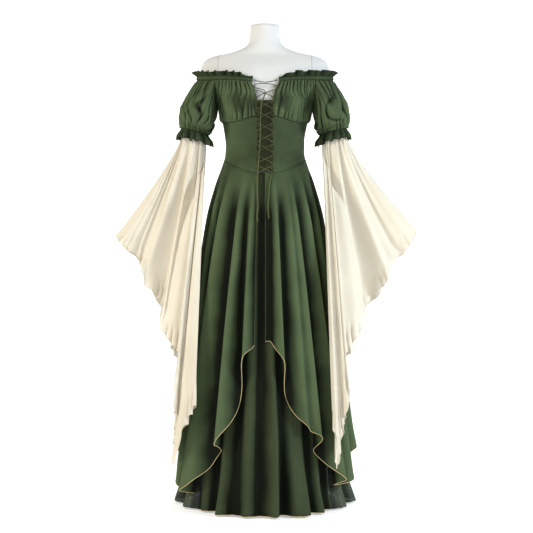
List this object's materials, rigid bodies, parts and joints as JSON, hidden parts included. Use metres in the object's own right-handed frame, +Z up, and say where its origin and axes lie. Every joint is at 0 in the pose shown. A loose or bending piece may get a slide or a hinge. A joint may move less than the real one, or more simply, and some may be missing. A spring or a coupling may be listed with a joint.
{
  "type": "medieval gown on a dress form",
  "caption": "Off-the-shoulder medieval gown with puffed and long bell sleeves, laced bodice and open overskirt, on a limbless dress form.",
  "frame": {"origin": "the middle of the base plate's underside, on the floor", "axes": "+Z is up along the pole, -Y is the gown's front, and +X is the right of a viewer who looks at it"},
  "size_m": [0.924, 0.5284, 1.4583],
  "materials": {
    "green_crepe": "matte",
    "sheer_green": "matte",
    "olive_panel": "matte",
    "cream_chiffon": "matte",
    "gold_piping": "satin",
    "lace": "matte",
    "form_jersey": "matte",
    "stand": "satin"
  },
  "bodies": {
    "root": {"neck_casing": "green_crepe", "neck_frill": "green_crepe", "bust_front_left": "green_crepe", "bust_front_right": "green_crepe", "bust_back": "green_crepe", "puff_sleeve_left": "green_crepe", "puff_sleeve_right": "green_crepe", "cuff_frill_left": "green_crepe", "cuff_frill_right": "green_crepe", "midriff_front_left": "green_crepe", "midriff_front_right": "green_crepe", "midriff_back": "green_crepe", "underskirt_front": "green_crepe", "overskirt_left": "green_crepe", "overskirt_right": "green_crepe", "underskirt_back": "sheer_green", "modesty_panel": "olive_panel", "bell_sleeve_left": "cream_chiffon", "bell_sleeve_right": "cream_chiffon", "front_lace_a": "lace", "front_lace_b": "lace", "neck_drawstring": "lace", "neck_bow": "lace", "lace_end_long": "lace", "lace_end_short": "lace", "form_torso": "form_jersey", "form_neck_cap": "form_jersey", "form_pole": "stand", "form_base": "stand"}
  },
  "joints": []
}
